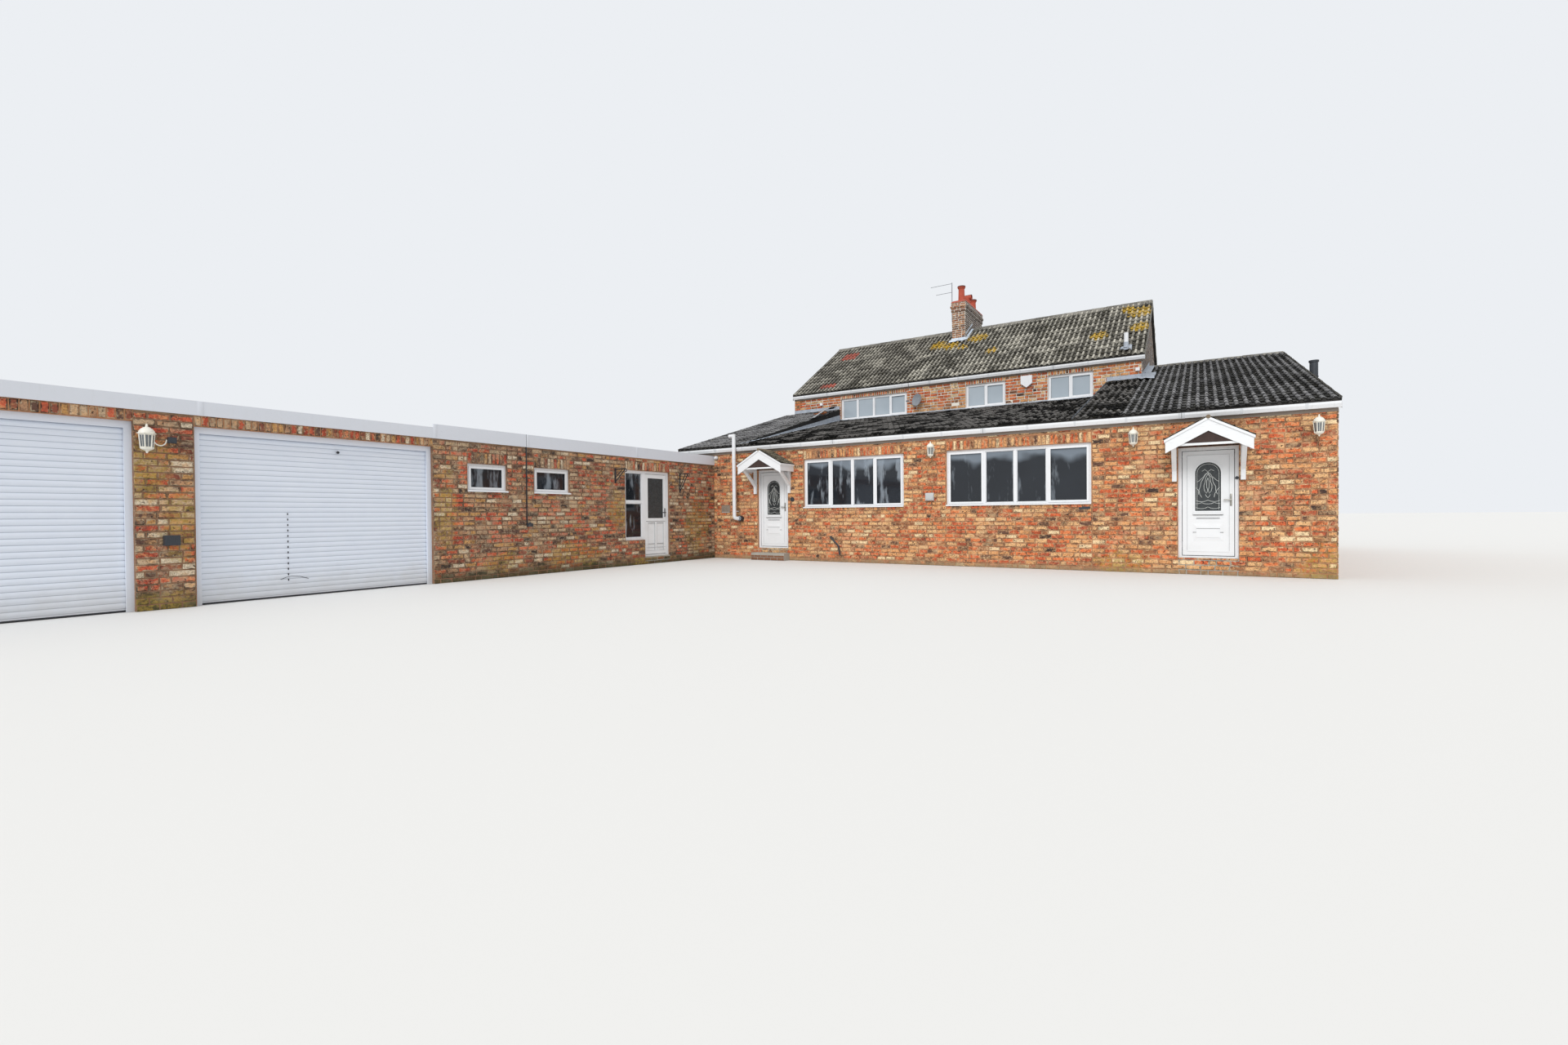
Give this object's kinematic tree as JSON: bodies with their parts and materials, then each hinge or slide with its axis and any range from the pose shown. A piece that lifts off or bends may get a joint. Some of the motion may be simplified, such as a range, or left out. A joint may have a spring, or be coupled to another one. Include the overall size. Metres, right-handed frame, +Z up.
{
  "type": "detached farmhouse with garage wing",
  "caption": "Detached brick farmhouse: tall main block with chimney, low tiled front range with canopied doors, and a flat-roofed garage wing with roller shutters.",
  "frame": {"origin": "middle of the overall box, at the lowest ground level", "axes": "+X runs right along the front range seen from the yard, +Y runs back through the house, +Z is up"},
  "size_m": [19.736, 29.035, 9.5],
  "materials": {
    "house_brick": "rough reclaimed brick in buff mortar",
    "cement_brick": "brick washed with grey cement",
    "garage_brick": "rough red brick with algae low down",
    "concrete": "plain concrete",
    "floor_boards": "plain boards",
    "range_tiles": "dark double-Roman tiles",
    "main_tiles": "grey-brown double-Roman tiles with lichen",
    "ridge_clay": "grey half-round ridge tiles",
    "chimney_brick": "dark brick with light mortar",
    "red_clay": "fired clay",
    "white_plastic": "white, slightly weathered",
    "grey_board": "brown-grey weathered board",
    "lead": "weathered lead",
    "roof_felt": "mineral felt",
    "white_steel": "white coated steel",
    "dark_glass": "sealed units seen dark from outside",
    "door_glass": "leaded glass seen dark from outside",
    "door_skin": "white door skin",
    "painted_timber": "white painted timber",
    "cream_metal": "cream painted lantern",
    "black_metal": "black enamel and plastic",
    "grey_metal": "grey painted steel"
  },
  "bodies": {
    "root": {"front_wall_ends": "house_brick", "front_wall_middle": "house_brick", "opening_heads": "house_brick", "door_sills": "concrete", "range_side_walls": "house_brick", "range_back_wall": "house_brick", "ground_floor": "concrete", "inner_wall_piers": "house_brick", "main_front_wall": "house_brick", "main_back_wall": "house_brick", "main_left_gable": "house_brick", "main_right_gable": "cement_brick", "upper_floor": "floor_boards", "main_roof_front": "main_tiles", "main_roof_back": "main_tiles", "roof_left": "range_tiles", "roof_middle": "range_tiles", "roof_right": "range_tiles", "roof_right_back": "range_tiles", "ridge_tiles": "ridge_clay", "chimney_stack": "chimney_brick", "chimney_pots": "red_clay", "gutters": "white_plastic", "eave_boards": "grey_board", "lead_flashings": "lead", "garage_window_wall": "garage_brick", "garage_piers": "garage_brick", "garage_outer_walls": "garage_brick", "garage_floor": "concrete", "garage_roof": "roof_felt", "garage_fascia": "white_plastic", "shutter_curtains": "white_steel", "shutter_frames": "white_steel", "window_frames": "white_plastic", "window_glass": "dark_glass", "door_frames": "white_plastic", "door_canopies": "painted_timber", "wall_lanterns": "cream_metal", "black_flue": "black_metal", "dish_and_aerial": "grey_metal", "wall_fittings": "white_plastic", "dark_fittings": "black_metal"},
    "left_leaf": {"left_door": "door_skin", "left_door_glass": "door_glass"},
    "right_leaf": {"right_door": "door_skin", "right_door_glass": "door_glass"},
    "side_leaf": {"side_door": "door_skin", "side_door_glass": "door_glass"}
  },
  "joints": [
    {"name": "left_door_hinge", "type": "hinge", "parent": "root", "child": "left_leaf", "pos_m": [-2.301, 1.3595, 1.345], "axis": [0, 0, 1], "range_deg": [0, 90]},
    {"name": "right_door_hinge", "type": "hinge", "parent": "root", "child": "right_leaf", "pos_m": [7.367, 1.3595, 1.345], "axis": [0, 0, 1], "range_deg": [0, 90]},
    {"name": "side_door_hinge", "type": "hinge", "parent": "root", "child": "side_leaf", "pos_m": [-3.975, -1.4445, 1.222], "axis": [0, 0, 1], "range_deg": [0, 90]}
  ]
}
